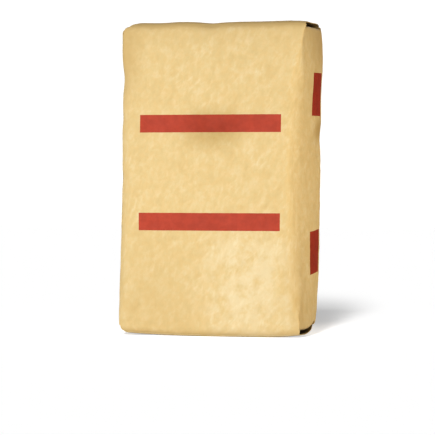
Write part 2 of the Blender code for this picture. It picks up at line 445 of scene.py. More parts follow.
# Heights of the crumples, from the largest to the finest.
LUMP_LARGE = 0.0016
LUMP_SMALL = 0.0010
CRINKLE_FOLD = 0.00080
CRINKLE_FINE = 0.00040
CRINKLE_FACET = 0.00060

# The noise at which a ridge, and the distance at which a facet, stands at mean height.
RIDGE_LEVEL = 0.22
FACET_LEVEL = 0.45

# How far the crinkles are bent out of line, and the size of the bends.
BEND = 0.005
BEND_SIZE = 0.030

# Steps of the flaps on the pasted ends, and how much lower than the plain box the ends lie.
LONG_FLAP_STEP = 0.0006
OVERLAP_STEP = 0.0004
PASTED_DEPTH = 0.0005

# Inside a fold the crumples lose this share. Edges that bend by more than this angle are creases.
FOLD_CALM = 0.85
CREASE_ANGLE = math.radians(48)

# Dents that show in the sack's outline and shading: place, reach in each direction, depth.
DENTS = {
    "left edge, high": ((-0.197, -0.063, 0.532), (0.030, 0.05, 0.026), 0.0034),
    "left edge, middle": ((-0.197, -0.063, 0.325), (0.025, 0.05, 0.022), 0.0022),
    "left edge, small": ((-0.197, -0.063, 0.450), (0.020, 0.05, 0.012), 0.0012),
    "top edge": ((-0.003, -0.063, 0.650), (0.022, 0.05, 0.020), 0.0026),
    "swelling of the top edge": ((-0.068, -0.063, 0.650), (0.030, 0.05, 0.020), -0.0014),
    "right side, high": ((0.197, 0.034, 0.414), (0.05, 0.024, 0.024), 0.0042),
    "right side, low": ((0.197, -0.034, 0.060), (0.05, 0.009, 0.030), 0.0018),
    "right side, foot": ((0.197, 0.030, 0.045), (0.05, 0.016, 0.020), 0.0018),
    "under the upper bar": ((-0.015, -0.063, 0.400), (0.055, 0.05, 0.014), 0.0016),
}


def wave(place, size, seed):
    """Smooth noise, with bumps of about this size in metres."""
    return noise.noise(Vector(place) / size + Vector((seed, 1.7 * seed, -seed)))


def waves(places, size, seed):
    return np.array([wave(place, size, seed) for place in places.tolist()])


def streaks(place, size, lean, seed):
    """Sharp low ridges, drawn out in a direction that leans this many radians to the right."""
    x, y, z = place
    across = x * math.cos(lean) - z * math.sin(lean)
    along = x * math.sin(lean) + z * math.cos(lean)
    return RIDGE_LEVEL - abs(wave((across, y, along * 0.5), size, seed))


def facets(place, size):
    """Shallow facets of about this size in metres, which meet in sharp ridges."""
    distances, _ = noise.voronoi(Vector(place) / size)
    return distances[0] - FACET_LEVEL


def crumple_at(place):
    """Height of the large lumps and of the fine crinkles at a place on the paper."""
    x, y, z = place
    lumps = LUMP_LARGE * wave((x, y, z * 0.8), 0.115, 3.0)
    lumps += LUMP_SMALL * wave((x, y * 1.2, z * 0.9), 0.052, 7.0)
    bent = Vector(place) + BEND * noise.noise_vector(Vector(place) / BEND_SIZE)
    patches = 0.55 + 0.9 * max(0.0, wave(place, 0.060, 31.0) + 0.15)
    leaning = min(1.0, max(0.0, 0.5 + (x - z + 0.22) / 0.16))
    upright = streaks(bent, 0.020, 0.12, 11.0)
    slanting = streaks(bent, 0.017, 0.72, 13.0)
    folds = (1.0 - leaning) * upright + leaning * 1.4 * slanting
    fine = streaks(bent, 0.0095, 0.25, 17.0) + leaning * streaks(bent, 0.0085, 0.85, 19.0)
    crinkles = CRINKLE_FOLD * folds + CRINKLE_FINE * fine + CRINKLE_FACET * facets(bent, 0.0165)
    return lumps, patches * crinkles


def crumple(places):
    """Heights of the paper over its smooth form, and the part of them that is fine crinkle."""
    both = np.array([crumple_at(place) for place in places.tolist()])
    lumps = both[:, 0]
    for centre, reach, depth in DENTS.values():
        away = (places - np.array(centre)) / np.array(reach)
        lumps = lumps - depth * np.exp(-np.sum(away**2, axis=1))
    return lumps, both[:, 1]


def end_plies(places):
    """Steps of the pasted flaps on the two ends, where each long flap stops along a diagonal."""
    from_side = HALF_WIDTH - np.abs(places[:, 0])
    from_front = HALF_DEPTH - np.abs(places[:, 1])
    on_end = smoothstep(HALF_HEIGHT - 0.0015, HALF_HEIGHT - 0.0005, np.abs(places[:, 2] - MIDDLE))
    long_flaps = smoothstep(-0.0020, 0.0020, from_side - from_front)
    overlap = smoothstep(0.0020, 0.0055, places[:, 1])
    plies = LONG_FLAP_STEP * long_flaps + OVERLAP_STEP * overlap * long_flaps
    return on_end * (plies - PASTED_DEPTH)


def seam_step(places):
    """The raised side of the lengthwise seam on the back."""
    on_back = smoothstep(HALF_DEPTH - 0.0020, HALF_DEPTH - 0.0005, places[:, 1])
    raised = smoothstep(SEAM_X + SEAM_WIDTH, SEAM_X, places[:, 0])
    fading = smoothstep(0.10, 0.03, SEAM_X - places[:, 0])
    return SEAM_STEP * on_back * raised * fading


def paper_heights(places, lumps, crinkles):
    """Height of the paper over the smooth form. It lies calmer near the pasted ends."""
    from_end = HALF_HEIGHT - np.abs(places[:, 2] - MIDDLE)
    calm = smoothstep(-0.001, 0.030, from_end) * 0.6 + 0.4
    above_foot = smoothstep(0.0, 0.012, places[:, 2] - BOTTOM)
    return (lumps + crinkles * calm + end_plies(places)) * above_foot


def paper_skin():
    skin = Skin()
    skin.walls()
    skin.folds()
    places = np.array(skin.places)
    depths = np.array(skin.depths)
    lumps, crinkles = crumple(places)
    values = {"fold_depth": depths, "crinkle": crinkles / CRINKLE_UNIT}
    obj = mesh_object("sack_skin", shaped(places), skin.faces, places, values)
    heights = paper_heights(places, lumps, crinkles) * (1.0 - FOLD_CALM * depths) + seam_step(places)
    raise_surface(obj, heights)
    obj.data.set_sharp_from_angle(angle=CREASE_ANGLE)
    return obj


# The pieces in and on the sack

def plain_box(low, high, cell):
    """Points and faces of a closed box, divided into cells of about this size."""
    counts = [max(1, math.ceil((high[axis] - low[axis]) / cell)) for axis in range(3)]
    index = {}
    points = []
    faces = []
    for axis in range(3):
        for keys in cells_across(axis, counts):
            for key in keys:
                if key not in index:
                    index[key] = len(points)
                    points.append([low[a] + (high[a] - low[a]) * key[a] / counts[a] for a in range(3)])
            faces.append([index[key] for key in keys])
    return np.array(points), faces


def with_clipped_corners(points, faces, half_x, half_y):
    """The plate with its four upright corners cut off."""
    work = bmesh.new()
    corners = [work.verts.new(point) for point in points]
    for face in faces:
        work.faces.new([corners[index] for index in face])
    for side in (-1, 1):
        for front in (-1, 1):
            everything = work.verts[:] + work.edges[:] + work.faces[:]
            on_cut = (side * (half_x - COVER_CLIP), front * half_y, 0)
            outwards = (side, front, 0)
            bmesh.ops.bisect_plane(
                work, geom=everything, plane_co=on_cut, plane_no=outwards, clear_outer=True
            )
    bmesh.ops.holes_fill(work, edges=[edge for edge in work.edges if edge.is_boundary])
    work.verts.index_update()
    points = np.array([tuple(corner.co) for corner in work.verts])
    faces = [[corner.index for corner in face.verts] for face in work.faces]
    work.free()
    return points, faces


def cover_sheet(name, low, high, on_top):
    """A sheet of paper pasted on a folded end. The top one follows the end's lumps and its folded plies.
    """
    thick = high.z - low.z
    plain, faces = plain_box((low.x, low.y, 0.0), (high.x, high.y, thick), COARSE_CELL)
    plain, faces = with_clipped_corners(plain, faces, high.x, high.y)
    places = plain.copy()
    places[:, 2] = TOP if on_top else BOTTOM
    points = shaped(places)
    if on_top:
        from_rim = np.minimum(high.x - np.abs(plain[:, 0]), high.y - np.abs(plain[:, 1]))
        curl = np.clip(waves(places, 0.030, 41.0), 0.0, 1.0)
        curl = COVER_CURL * curl * smoothstep(0.008, 0.0, from_rim)
        heights = paper_heights(places, *crumple(places)) + curl
        points[:, 2] += heights + COVER_GAP + plain[:, 2]
    else:
        points[:, 2] += plain[:, 2] - BOTTOM
    return mesh_object(name, points, faces, places)


def cement_body():
    """The settled powder. It fills the sack up to the folds of its two ends."""
    half_x = HALF_WIDTH - BODY_INSET
    half_y = HALF_DEPTH - BODY_INSET
    high = TOP - BODY_HEADROOM
    corner = (-half_x, -half_y, BOTTOM + BODY_INSET)
    places, faces = plain_box(corner, (half_x, half_y, high), BODY_CELL)
    past_tuck = smoothstep(-0.009, 0.003, np.abs(places[:, 0]) - HALF_WIDTH + FOLD_DEPTH)
    depth_share = (high - places[:, 2]) / (high - BOTTOM)
    places[:, 2] += BODY_OVER_TUCKS * past_tuck * depth_share
    obj = mesh_object("cement_body", shaped(places), faces, places)

    outer = places.copy()
    for axis, half, inset_half in ((0, HALF_WIDTH, half_x), (1, HALF_DEPTH, half_y)):
        on_side = np.abs(places[:, axis]) > inset_half - 1e-6
        outer[:, axis] = np.where(on_side, np.sign(places[:, axis]) * half, places[:, axis])
    lumps, _ = crumple(outer)
    heaps = HEAP_HEIGHT * waves(places, 0.045, 51.0) * smoothstep(high - 0.001, high, places[:, 2])
    raise_surface(obj, lumps + heaps)
    return obj


def sleeve_point(x, angle, inset):
    """A point on the flattened tube of the valve. Its two plies sag a little between the edges."""
    half_y = (SLEEVE_HIGH.y - SLEEVE_LOW.y) / 2 - inset
    half_z = (SLEEVE_HIGH.z - SLEEVE_LOW.z) / 2 - inset
    middle = (SLEEVE_LOW.z + SLEEVE_HIGH.z) / 2
    y = half_y * math.cos(angle)
    z = half_z * math.copysign(math.sqrt(1.0 - math.cos(angle) ** 6), math.sin(angle))
    sag = SLEEVE_SAG * (1.0 - abs(math.cos(angle)) ** 2) * wave((x, y, 0.0), 0.030, 61.0)
    return (x, y, middle + z * (1.0 - 0.12 * abs(math.sin(angle))) + sag)


def valve_tube():
    """The paper tube of the valve, open at its mouth in the fold and at its end over the powder."""
    places = []
    for inset in (0.0, SLEEVE_WALL):
        for along in range(SLEEVE_ALONG + 1):
            x = SLEEVE_LOW.x + (SLEEVE_HIGH.x - SLEEVE_LOW.x) * along / SLEEVE_ALONG
            for around in range(SLEEVE_AROUND):
                places.append(sleeve_point(x, math.tau * around / SLEEVE_AROUND, inset))
    ring = SLEEVE_AROUND
    wall = ring * (SLEEVE_ALONG + 1)
    faces = []
    for around in range(ring):
        beside = (around + 1) % ring
        for start in (0, wall):
            for along in range(SLEEVE_ALONG):
                low = start + along * ring
                faces.append([low + around, low + beside, low + ring + beside, low + ring + around])
        for row in (0, ring * SLEEVE_ALONG):
            faces.append([row + around, row + beside, wall + row + beside, wall + row + around])
    places = np.array(places)
    return mesh_object("valve_tube", shaped(places), faces, places)


# Materials

class Graph:
    """Short calls for building the nodes of a material or a group."""

    def __init__(self, tree):
        self.tree = tree

    def put(self, socket, value):
        if isinstance(value, bpy.types.NodeSocket):
            self.tree.links.new(value, socket)
        else:
            socket.default_value = value

    def add(self, kind, inputs=None, **settings):
        node = self.tree.nodes.new(kind)
        for name, value in settings.items():
            setattr(node, name, value)
        for name, value in (inputs or {}).items():
            self.put(node.inputs[name], value)
        return node

    def math(self, operation, *values, clamp=False):
        node = self.add("ShaderNodeMath", operation=operation, use_clamp=clamp)
        for socket, value in zip(node.inputs, values):
            self.put(socket, value)
        return node.outputs[0]

    def times(self, first, second, clamp=False):
        return self.math("MULTIPLY", first, second, clamp=clamp)

    def minus(self, first, second):
        return self.math("SUBTRACT", first, second)

    def larger(self, first, second):
        return self.math("MAXIMUM", first, second)

    def total(self, *values):
        """The sum of all the values."""
        found = values[0]
        for value in values[1:]:
            found = self.math("ADD", found, value)
        return found

    def weighted(self, *pairs):
        """The sum of the values, each times its weight."""
        return self.total(*[self.times(value, weight) for value, weight in pairs])

    def parts(self, vector):
        return self.add("ShaderNodeSeparateXYZ", {"Vector": vector}).outputs

    def attribute(self, name, output="Fac"):
        return self.add("ShaderNodeAttribute", attribute_name=name).outputs[output]

    def mix(self, share, low, high, blend="MIX"):
        node = self.add("ShaderNodeMix", data_type="RGBA", blend_type=blend)
        self.put(node.inputs[0], share)
        self.put(node.inputs[6], low)
        self.put(node.inputs[7], high)
        return node.outputs[2]

    def ramp(self, value, low, high, to_low=0.0, to_high=1.0, smooth=True):
        inputs = {"Value": value, "From Min": low, "From Max": high, "To Min": to_low, "To Max": to_high}
        interpolation = "SMOOTHSTEP" if smooth else "LINEAR"
        return self.add("ShaderNodeMapRange", inputs, interpolation_type=interpolation).outputs[0]

    def noise(self, vector, scale, detail=2.0, roughness=0.5, distortion=0.0):
        inputs = {
            "Vector": vector,
            "Scale": scale,
            "Detail": detail,
            "Roughness": roughness,
            "Distortion": distortion,
        }
        return self.add("ShaderNodeTexNoise", inputs).outputs["Fac"]

    def vector(self, operation, first, second):
        node = self.add("ShaderNodeVectorMath", operation=operation)
        self.put(node.inputs[0], first)
        self.put(node.inputs["Scale" if operation == "SCALE" else 1], second)
        return node.outputs["Value" if operation == "DISTANCE" else "Vector"]

    def drawn_out(self, vector, lengths, turn=(0.0, 0.0, 0.0)):
        """Makes a pattern this many times as long along each of its axes, which are turned first."""
        inputs = {"Vector": vector, "Scale": lengths, "Rotation": turn}
        return self.add("ShaderNodeMapping", inputs, vector_type="TEXTURE").outputs[0]

    def group(self, name, inputs):
        return self.add("ShaderNodeGroup", inputs, node_tree=bpy.data.node_groups[name]).outputs

    def spot(self, place, centre, reach):
        return self.group("soft_spot", {"Vector": place, "Centre": centre, "Reach": reach})["Mask"]

    def soil_and_shade_band(self, place, from_edge, reach):
        return self.group("edge_soil_and_shade", {"Vector": place, "From Edge": from_edge, "Reach": reach})["Mask"]


def new_group(name, inputs, outputs):
    """A node group. Each input's default is a number, a vector or None. The outputs are numbers."""
    tree = bpy.data.node_groups.new(name, "ShaderNodeTree")
    for title, value in inputs.items():
        kind = "NodeSocketFloat" if isinstance(value, float) else "NodeSocketVector"
        socket = tree.interface.new_socket(title, in_out="INPUT", socket_type=kind)
        if value is not None:
            socket.default_value = value
    for title in outputs:
        tree.interface.new_socket(title, in_out="OUTPUT", socket_type="NodeSocketFloat")
    source = tree.nodes.new("NodeGroupInput").outputs
    result = tree.nodes.new("NodeGroupOutput").inputs
    return Graph(tree), source, result


def paper_grain_group():
    """Fibres and cloudy formation of kraft paper: a tint around 0.5 and a height."""
    inputs = {"Vector": None, "Coarseness": 1.0}
    graph, source, result = new_group("paper_grain", inputs, ["Tint", "Height"])
    vector = graph.vector("SCALE", source["Vector"], source["Coarseness"])
    clouds = graph.noise(vector, 42.0, 5.0, 0.62, 0.6)
    specks = graph.noise(vector, 420.0, 3.0, 0.6)
    fibres_up = graph.noise(graph.drawn_out(vector, (1.0, 1.0, 4.5)), 900.0, 3.0, 0.65, 0.8)
    fibres_across = graph.noise(graph.drawn_out(vector, (4.0, 2.5, 1.0)), 800.0, 3.0, 0.65, 0.8)
    fibres = graph.larger(fibres_up, fibres_across)
    graph.put(result["Tint"], graph.weighted((clouds, 0.55), (specks, 0.20), (fibres, 0.22)))
    graph.put(result["Height"], graph.weighted((fibres, 0.7), (specks, 0.5)))


def fine_crinkle_group():
    """Crumpled paper that is too fine for the mesh.

    Ridge is 0 in its hollows and 1 on its ridges. Facet is a tone of its own for each flat between.
    """
    inputs = {"Vector": None, "Coarseness": 1.0, "Lean": (0.0, 0.3, 0.0)}
    graph, source, result = new_group("fine_crinkle", inputs, ["Ridge", "Facet"])
    scaled = graph.vector("SCALE", source["Vector"], source["Coarseness"])
    clouds = graph.add("ShaderNodeTexNoise", {"Vector": scaled, "Scale": 60.0, "Detail": 2.0})
    bends = graph.vector("SUBTRACT", clouds.outputs["Color"], (0.5, 0.5, 0.5))
    bends = graph.vector("SCALE", bends, 0.012)
    bent = graph.drawn_out(graph.vector("ADD", scaled, bends), (1.0, 1.0, 1.8), source["Lean"])

    def cells(scale, smoothness):
        inputs = {"Vector": bent, "Scale": scale, "Smoothness": smoothness}
        return graph.add("ShaderNodeTexVoronoi", inputs, feature="SMOOTH_F1").outputs

    ridges = [(cells(scale, 0.25)["Distance"], share) for scale, share in ((120.0, 0.55), (260.0, 0.45))]
    graph.put(result["Ridge"], graph.ramp(graph.weighted(*ridges), 0.15, 0.75, smooth=False))
    tones = []
    for scale in (85.0, 150.0):
        colour = {"Color": cells(scale, 0.35)["Color"]}
        tones.append((graph.add("ShaderNodeSeparateColor", colour).outputs["Red"], 0.5))
    graph.put(result["Facet"], graph.weighted(*tones))


def pale_fleck_group():
    """Sparse pale strokes: painted highlights along the ridges of the crumpled paper."""
    inputs = {"Vector": None, "Coarseness": 1.0, "Density": 0.0}
    graph, source, result = new_group("pale_flecks", inputs, ["Mask"])
    scaled = graph.vector("SCALE", source["Vector"], source["Coarseness"])
    strokes = []
    for lean, scale in ((0.25, 105.0), (0.80, 115.0)):
        drawn = graph.drawn_out(scaled, (1.0, 1.0, 3.0), (0.0, lean, 0.0))
        strokes.append(graph.ramp(graph.noise(drawn, scale, 2.0, 0.55), 0.50, 0.74))
    patches = graph.total(graph.noise(scaled, 18.0, 2.0, 0.5), source["Density"])
    shown = graph.ramp(patches, 0.40, 0.75, 0.10, 1.0)
    graph.put(result["Mask"], graph.times(graph.larger(*strokes), shown))


def soft_spot_group():
    """A soft spot: 1 in its middle, 0 past its reach along each axis."""
    inputs = {"Vector": None, "Centre": None, "Reach": (0.05, 0.05, 0.05)}
    graph, source, result = new_group("soft_spot", inputs, ["Mask"])
    away = graph.vector("SUBTRACT", source["Vector"], source["Centre"])
    away = graph.vector("DISTANCE", graph.vector("DIVIDE", away, source["Reach"]), (0.0, 0.0, 0.0))
    graph.put(result["Mask"], graph.ramp(away, 1.0, 0.15))


def edge_soil_and_shade_group():
    """A band along an edge, for soiling and for painted shade: 1 at the edge, 0 past its reach, and
    broken up between.
    """
    inputs = {"Vector": None, "From Edge": 0.0, "Reach": 0.015}
    graph, source, result = new_group("edge_soil_and_shade", inputs, ["Mask"])
    near = graph.minus(1.0, graph.math("DIVIDE", source["From Edge"], source["Reach"]))
    uneven = graph.minus(graph.noise(source["Vector"], 55.0, 4.0, 0.6), 0.5)
    graph.put(result["Mask"], graph.ramp(graph.total(near, uneven), 0.0, 1.0))


def powder_group():
    """Loose fine powder with small clods: a tint around 0.5 and a height."""
    inputs = {"Vector": None, "Coarseness": 1.0}
    graph, source, result = new_group("powder", inputs, ["Tint", "Height"])
    vector = graph.vector("SCALE", source["Vector"], source["Coarseness"])
    clods = graph.noise(vector, 70.0, 6.0, 0.68, 0.4)
    grains = graph.noise(vector, 1100.0, 2.0, 0.7)
    graph.put(result["Tint"], graph.weighted((clods, 0.7), (grains, 0.3)))
    graph.put(result["Height"], graph.weighted((clods, 1.0), (grains, 0.25)))


def printed_bar_group():
    """A printed bar: 1 inside its two half sizes, with an edge that is slightly uneven."""
    inputs = {
        "Across": 0.0,
        "Up": 0.0,
        "Centre Across": 0.0,
        "Centre Up": 0.0,
        "Half Across": 0.1,
        "Half Up": 0.02,
        "Unevenness": 0.0,
    }
    graph, source, result = new_group("printed_bar", inputs, ["Mask"])
    inside = []
    for title in ("Across", "Up"):
        away = graph.math("ABSOLUTE", graph.minus(source[title], source["Centre " + title]))
        left = graph.total(graph.minus(source["Half " + title], away), source["Unevenness"])
        inside.append(graph.ramp(left, -INK_EDGE, INK_EDGE))
    graph.put(result["Mask"], graph.times(*inside))


def new_material(name):
    material = bpy.data.materials.new(name)
    material.use_nodes = True
    tree = material.node_tree
    return material, Graph(tree), tree.nodes["Principled BSDF"]


def set_surface(graph, shader, colour, rough, specular, height):
    """Colour, roughness, shine and bumps of a surface."""
    graph.put(shader.inputs["Base Color"], colour)
    graph.put(shader.inputs["Roughness"], rough)
    shader.inputs["Specular IOR Level"].default_value = specular
    bump = graph.add("ShaderNodeBump", {"Height": height, "Distance": BUMP_DISTANCE, "Strength": 1.0})
    graph.put(shader.inputs["Normal"], bump.outputs[0])


KRAFT = (0.690, 0.503, 0.226, 1.0)
KRAFT_PALE = (0.790, 0.640, 0.370, 1.0)
KRAFT_DEEP = (0.555, 0.375, 0.145, 1.0)
KRAFT_TONES = (KRAFT, KRAFT_PALE, KRAFT_DEEP)
# The pale colour of the painted sheen.
PAINTED_SHEEN_PALE = (0.820, 0.705, 0.460, 1.0)
# Near-black painted shade for deep in the open folds and at the valve's mouth.
PAINTED_FOLD_SHADE = (0.075, 0.045, 0.018, 1.0)
# No tint, and the tint of the painted shade patches.
UNSHADED = (1.0, 1.0, 1.0, 1.0)
PAINTED_SHADE_TINT = (0.77, 0.72, 0.60, 1.0)
MOTTLE_WARM = (1.008, 0.988, 0.965, 1.0)
MOTTLE_COOL = (0.992, 1.012, 1.035, 1.0)
# The sleeve's three tones: middle, pale and deep.
SLEEVE_TONES = ((0.480, 0.320, 0.135, 1.0), (0.560, 0.400, 0.200, 1.0), (0.360, 0.225, 0.085, 1.0))
CEMENT = (0.300, 0.300, 0.280, 1.0)
CEMENT_PALE = (0.420, 0.415, 0.390, 1.0)
INK_FRONT = (0.416, 0.049, 0.024, 1.0)
INK_SIDE = (0.305, 0.024, 0.007, 1.0)

PAPER_SPECULAR = 0.16
SLEEVE_SPECULAR = 0.12
CEMENT_SPECULAR = 0.10
BUMP_DISTANCE = 0.001

# Blotches in the ink, as scale, least and greatest brightness.
INK_BLOTCHES = ((11.0, 0.95, 1.04), (70.0, 0.93, 1.09))

# Painted shade, with some soiling, along the ends, and painted shade from the top down: reach and
# strength. On the left the painted shade reaches further.
END_SOIL_AND_SHADE = (0.023, 0.90)
TOP_PAINTED_SHADE = (0.070, 0.36)
LEFT_PAINTED_SHADE_REACH = 0.072
COVER_WEAR = (0.010, 0.35)

# Where a pale sheen is painted on the front low down, as centre and reach.
PAINTED_SHEEN_PATCH = ((0.085, -0.063, 0.115), (0.150, 0.100, 0.190))

# Patches of painted shade, as centre, reach and strength: across the upper bar's middle and below it,
# over the dent there, and in the dent of the right side.
PAINTED_SHADE_PATCHES = (
    ((0.004, -0.063, 0.430), (0.105, 0.100, 0.062), 1.00),
    ((0.200, 0.048, 0.434), (0.060, 0.046, 0.036), 0.60),
)

# Spots of painted shade, as centre, reach and strength: high on the right side, in its dent, low on the
# edge between it and the front, and low on the left of the front.
PAINTED_SHADE_SPOTS = (
    ((0.200, 0.070, 0.650), (0.060, 0.130, 0.170), 0.90),
    ((0.200, 0.036, 0.426), (0.060, 0.034, 0.036), 0.90),
    ((0.190, -0.063, 0.110), (0.040, 0.060, 0.200), 0.38),
    ((-0.130, -0.063, 0.010), (0.170, 0.080, 0.300), 0.28),
)


def pair_of_bars(graph, across, up, unevenness, bars):
    """Where the ink of two bars lies, one over the other."""
    centre, half_across, half_up, heights = bars
    masks = []
    for height in heights:
        masks.append(graph.group("printed_bar", {
            "Across": across,
            "Up": up,
            "Centre Across": centre,
            "Centre Up": height,
            "Half Across": half_across,
            "Half Up": half_up,
            "Unevenness": unevenness,
        })["Mask"])
    return graph.larger(*masks)


def printed_mask(graph, place, unevenness):
    """Where the ink lies, and the part of it that is on the narrow sides.

    There are two bars across each broad face, and two upright ones on each narrow side.
    """
    x, y, z = graph.parts(place)
    broad = graph.math("GREATER_THAN", graph.math("ABSOLUTE", y), HALF_DEPTH - ON_SIDE)
    narrow = graph.math("GREATER_THAN", graph.math("ABSOLUTE", x), HALF_WIDTH - ON_SIDE)
    to_the_right = graph.times(x, graph.times(graph.math("SIGN", y), -1.0))
    front = graph.times(pair_of_bars(graph, to_the_right, z, unevenness, FRONT_BARS), broad)
    side = graph.times(pair_of_bars(graph, y, z, unevenness, SIDE_BARS), narrow)
    return graph.larger(front, side), side


def bare_kraft(graph, place, tones, crinkle=0.0, coarseness=1.0, density=0.0):
    """Colour, roughness and height of unprinted kraft paper in three tones: middle, pale and deep."""
    inputs = {"Vector": place, "Coarseness": coarseness}
    grain = graph.group("paper_grain", inputs)
    fine = graph.group("fine_crinkle", inputs)
    flecks = graph.group("pale_flecks", {**inputs, "Density": density})["Mask"]
    # The tint holds painted light and shade: paler on the crinkles' ridges and in the pale strokes,
    # deeper in their hollows.
    tint = graph.total(
        graph.ramp(grain["Tint"], 0.36, 0.66, -0.28, 0.28, smooth=False),
        graph.times(crinkle, 0.25),
        graph.ramp(fine["Ridge"], 0.0, 1.0, -0.10, 0.11, smooth=False),
        graph.ramp(fine["Facet"], 0.2, 0.8, -0.15, 0.15, smooth=False),
        graph.times(flecks, 0.48),
    )
    middle, pale, deep = tones
    colour = graph.mix(graph.times(tint, 1.0, clamp=True), middle, pale)
    colour = graph.mix(graph.times(tint, -0.8, clamp=True), colour, deep)
    mottle = graph.ramp(graph.noise(place, 120.0, 3.0, 0.6), 0.36, 0.64)
    colour = graph.mix(1.0, colour, graph.mix(mottle, MOTTLE_WARM, MOTTLE_COOL), "MULTIPLY")
    rough = graph.ramp(grain["Tint"], 0.3, 0.7, 0.76, 0.92)
    layers = ((grain["Height"], 0.04), (fine["Ridge"], 0.13), (fine["Facet"], 0.10), (flecks, 0.18))
    return colour, rough, graph.weighted(*layers)


def soil_and_painted_shade(graph, place):
    """Painted shade, with some soiling, along the two ends and the rim of the top, high on the left
    edges and in spots.
    """
    x, y, z = graph.parts(place)
    wide = graph.math("ABSOLUTE", x)
    deep = graph.math("ABSOLUTE", y)
    from_end = graph.minus(HALF_HEIGHT, graph.math("ABSOLUTE", graph.minus(z, MIDDLE)))
    upright = graph.math("GREATER_THAN", from_end, ON_END)
    rim = graph.ramp(graph.minus(HALF_DEPTH, deep), 0.015, 0.004)
    rim = graph.times(rim, graph.math("GREATER_THAN", z, MIDDLE))

    darkened = 0.0
    for from_here, (reach, share) in ((from_end, END_SOIL_AND_SHADE), (graph.minus(TOP, z), TOP_PAINTED_SHADE)):
        band = graph.times(graph.soil_and_shade_band(place, from_here, reach), share)
        darkened = graph.larger(darkened, band)
    from_edge = graph.minus(HALF_WIDTH + HALF_DEPTH, graph.total(wide, deep))
    at_left = graph.soil_and_shade_band(place, from_edge, LEFT_PAINTED_SHADE_REACH)
    at_left = graph.times(at_left, graph.ramp(x, 0.02, -0.02))
    at_left = graph.times(at_left, graph.ramp(z, 0.45, 0.58, 0.10, 0.86))
    darkened = graph.larger(darkened, at_left)
    for centre, reach, share in PAINTED_SHADE_SPOTS:
        spot = graph.times(graph.spot(place, centre, reach), share)
        darkened = graph.larger(darkened, spot)
    return graph.times(darkened, graph.larger(upright, rim))


def kraft_material():
    """The printed outer ply of the sack."""
    material, graph, shader = new_material("kraft_paper")
    place = graph.attribute("place", "Vector")
    crinkle = graph.attribute("crinkle")
    depth = graph.attribute("fold_depth")
    # A patch of painted sheen low on the front: paler there, with more painted highlights.
    sheen_patch = graph.spot(place, *PAINTED_SHEEN_PATCH)
    density = graph.times(sheen_patch, 0.25)
    colour, rough, height = bare_kraft(graph, place, KRAFT_TONES, crinkle, density=density)
    # Painted shade, partly soiling, along the ends, from the top, on the left edge and in spots.
    colour = graph.mix(soil_and_painted_shade(graph, place), colour, KRAFT_DEEP)
    patchy = graph.ramp(graph.noise(place, 28.0, 3.0, 0.6), 0.35, 0.62, 0.05, 0.50)
    colour = graph.mix(graph.times(sheen_patch, patchy), colour, PAINTED_SHEEN_PALE)

    uneven = graph.times(graph.minus(graph.noise(place, 700.0, 2.0), 0.5), INK_UNEVENNESS)
    ink, ink_side = printed_mask(graph, place, uneven)
    inked = graph.mix(ink_side, INK_FRONT, INK_SIDE)
    for scale, low, high in INK_BLOTCHES:
        blotch = graph.ramp(graph.noise(place, scale, 3.0, 0.6), 0.3, 0.7, low, high)
        inked = graph.mix(1.0, inked, blotch, "MULTIPLY")
    colour = graph.mix(ink, colour, inked)
    # Patches of painted shade, under the upper bar and in the dent of the right side.
    for centre, reach, strength in PAINTED_SHADE_PATCHES:
        share = graph.times(graph.spot(place, centre, reach), strength)
        colour = graph.mix(1.0, colour, graph.mix(share, UNSHADED, PAINTED_SHADE_TINT), "MULTIPLY")
    # Painted shade deep inside the folds.
    colour = graph.mix(depth, colour, PAINTED_FOLD_SHADE)
    rough = graph.minus(rough, graph.times(ink, 0.12))
    set_surface(graph, shader, colour, rough, PAPER_SPECULAR, height)
    return material


def cover_material():
    """The unprinted sheets pasted on the two ends, soiled along their rims."""
    material, graph, shader = new_material("cover_kraft")
    place = graph.attribute("place", "Vector")
    colour, rough, height = bare_kraft(graph, place, KRAFT_TONES, coarseness=1.15)
    x, y, _ = graph.parts(place)
    from_sides = graph.minus(COVER_HIGH.x, graph.math("ABSOLUTE", x))
    from_front = graph.minus(COVER_HIGH.y, graph.math("ABSOLUTE", y))
    from_rim = graph.math("MINIMUM", from_sides, from_front)
    reach, share = COVER_WEAR
    darkened = graph.times(graph.soil_and_shade_band(place, from_rim, reach), share)
    colour = graph.mix(darkened, colour, KRAFT_DEEP)
    set_surface(graph, shader, colour, rough, PAPER_SPECULAR, height)
    return material


def sleeve_material():
    """The valve's brown kraft, with powder lying on it. Painted shade darkens it at its mouth, as deep
    in the fold.
    """
    material, graph, shader = new_material("sleeve_kraft")
    place = graph.attribute("place", "Vector")
    colour, rough, height = bare_kraft(graph, place, SLEEVE_TONES, coarseness=1.4)
    powder = graph.group("powder", {"Vector": place, "Coarseness": 1.6})
    dust = graph.ramp(powder["Tint"], 0.42, 0.62, 0.10, 0.75)
    # Painted shade at the valve's mouth.
    mouth = graph.ramp(graph.parts(place)["X"], SLEEVE_HIGH.x - 0.030, SLEEVE_HIGH.x - 0.005)
    colour = graph.mix(mouth, graph.mix(dust, colour, CEMENT_PALE), PAINTED_FOLD_SHADE)
    height = graph.total(height, graph.times(graph.times(powder["Height"], dust), 0.3))
    set_surface(graph, shader, colour, graph.larger(rough, dust), SLEEVE_SPECULAR, height)
    return material


def cement_material():
    """Grey cement, settled and slightly cloddy."""
    material, graph, shader = new_material("cement_powder")
    powder = graph.group("powder", {"Vector": graph.attribute("place", "Vector")})
    colour = graph.mix(graph.ramp(powder["Tint"], 0.35, 0.65), CEMENT, CEMENT_PALE)
    rough = graph.ramp(powder["Tint"], 0.3, 0.7, 0.88, 1.0)
    set_surface(graph, shader, colour, rough, CEMENT_SPECULAR, powder["Height"])
    return material


# Stage, light and camera

